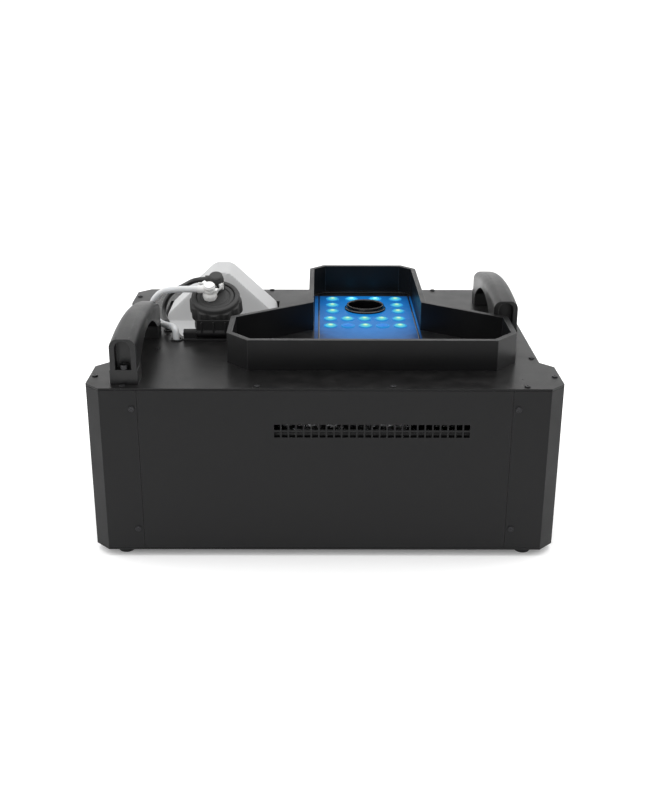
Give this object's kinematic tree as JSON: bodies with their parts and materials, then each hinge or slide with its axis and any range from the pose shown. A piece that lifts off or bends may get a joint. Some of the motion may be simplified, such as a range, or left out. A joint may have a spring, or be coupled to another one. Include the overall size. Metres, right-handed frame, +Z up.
{
  "type": "vertical fog machine",
  "caption": "Vertical fog machine: chamfered steel case, raised tray with a lamp-ringed fog nozzle, arched grips, lift-out fluid bottle with hose, rear fan and controls.",
  "frame": {"origin": "centre of the box around the object, on the ground under its feet", "axes": "+Z up, the front face towards -Y, +X to the right seen from the front"},
  "size_m": [0.51, 0.4028, 0.2703],
  "materials": {
    "bare_aluminium": "mill finish",
    "black_plastic": "matte moulded plastic",
    "black_plate": "semi-gloss powder coat",
    "black_screw": "black zinc",
    "black_steel": "satin powder coat with a fine texture",
    "board_green": "printed circuit board",
    "bottle_white": "translucent natural polyethylene",
    "brass": "turned",
    "foil": "crinkled foil",
    "gloss_black": "gloss moulded plastic",
    "hose_white": "translucent silicone",
    "lamp_blue": "lamp cover lit from its lenses",
    "lens_dark": "unlit lens",
    "lens_lit": "lit lens",
    "rubber": "matte rubber",
    "zinc_steel": "zinc plated"
  },
  "bodies": {
    "case": {"base_pan": "black_steel", "bottle_well": "black_steel", "case_screws": "black_screw", "clip_bracket": "black_steel", "clip_pin": "zinc_steel", "control_board": "board_green", "control_fascia": "black_steel", "dark_lenses": "lens_dark", "data_input": "black_plastic", "data_output": "black_plastic", "fan_frame": "black_plastic", "fan_guard": "zinc_steel", "feed_pipe": "zinc_steel", "feet": "rubber", "fog_jet": "brass", "front_corner_posts": "black_steel", "front_panel": "black_steel", "handle_bolts": "black_screw", "handle_left": "black_plastic", "handle_right": "black_plastic", "heater_block": "bare_aluminium", "heater_brackets": "zinc_steel", "heater_insulation": "foil", "heater_rods": "zinc_steel", "lamp_board": "board_green", "lamp_heat_sink": "bare_aluminium", "lamp_lenses": "lens_lit", "lamp_panel": "lamp_blue", "mains_inlet": "black_plastic", "nozzle_collar": "black_screw", "plate_grommets": "rubber", "power_board": "board_green", "power_supply": "bare_aluminium", "pump_body": "zinc_steel", "pump_bracket": "zinc_steel", "rear_corner_posts": "black_steel", "rear_panel": "black_steel", "side_panel_left": "black_steel", "side_panel_right": "black_steel", "switch_frame": "black_plastic", "thermal_cutouts": "zinc_steel", "top_plate": "black_plate", "tray_wall": "black_steel", "wiring_loom": "rubber"},
    "bottle": {"bottle": "bottle_white", "cap_insert": "black_plastic", "hose_elbow": "bottle_white", "cable_gland": "black_plastic", "suction_hose": "hose_white", "float_cable": "rubber"},
    "cap_ring": {"cap_ring": "black_plastic"},
    "cap_clip": {"cap_clip": "black_steel"},
    "fan_rotor": {"fan_rotor": "black_plastic"},
    "menu_button_1": {"menu_button_1": "black_plastic"},
    "menu_button_2": {"menu_button_2": "black_plastic"},
    "menu_button_3": {"menu_button_3": "black_plastic"},
    "menu_button_4": {"menu_button_4": "black_plastic"},
    "latch_button": {"latch_button": "black_plastic"},
    "switch_rocker": {"switch_rocker": "gloss_black"},
    "pump_piston": {"pump_piston": "zinc_steel"}
  },
  "joints": [
    {"name": "bottle_lift", "type": "slide", "parent": "case", "child": "bottle", "axis": [0, 0, 1], "range_m": [0, 0.12]},
    {"name": "cap_ring_turn", "type": "hinge", "parent": "bottle", "child": "cap_ring", "pos_m": [-0.132, 0.002, 0.243], "axis": [0, -0.4226, 0.9063], "range_deg": [0, 360]},
    {"name": "cap_clip_swing", "type": "hinge", "parent": "case", "child": "cap_clip", "pos_m": [-0.132, -0.028, 0.206], "axis": [1, 0, 0], "range_deg": [0, 80], "stiffness_Nm_per_rad": 0.02, "springref_deg": -17.19},
    {"name": "fan_spin", "type": "hinge", "parent": "case", "child": "fan_rotor", "pos_m": [0.15, 0.1795, 0.103], "axis": [0, 1, 0], "continuous": true},
    {"name": "menu_button_1_press", "type": "slide", "parent": "case", "child": "menu_button_1", "axis": [0, -1, 0], "range_m": [0, 0.0015], "stiffness_N_per_m": 400, "springref_m": -0.0005},
    {"name": "menu_button_2_press", "type": "slide", "parent": "case", "child": "menu_button_2", "axis": [0, -1, 0], "range_m": [0, 0.0015], "stiffness_N_per_m": 400, "springref_m": -0.0005},
    {"name": "menu_button_3_press", "type": "slide", "parent": "case", "child": "menu_button_3", "axis": [0, -1, 0], "range_m": [0, 0.0015], "stiffness_N_per_m": 400, "springref_m": -0.0005},
    {"name": "menu_button_4_press", "type": "slide", "parent": "case", "child": "menu_button_4", "axis": [0, -1, 0], "range_m": [0, 0.0015], "stiffness_N_per_m": 400, "springref_m": -0.0005},
    {"name": "latch_press", "type": "slide", "parent": "case", "child": "latch_button", "axis": [0, -1, 0], "range_m": [0, 0.0015], "stiffness_N_per_m": 400, "springref_m": -0.0005},
    {"name": "switch_rock", "type": "hinge", "parent": "case", "child": "switch_rocker", "pos_m": [-0.14, 0.1895, 0.128], "axis": [1, 0, 0], "range_deg": [-18, 0]},
    {"name": "piston_stroke", "type": "slide", "parent": "case", "child": "pump_piston", "axis": [1, 0, 0], "range_m": [-0.003, 0.003], "stiffness_N_per_m": 2000}
  ]
}
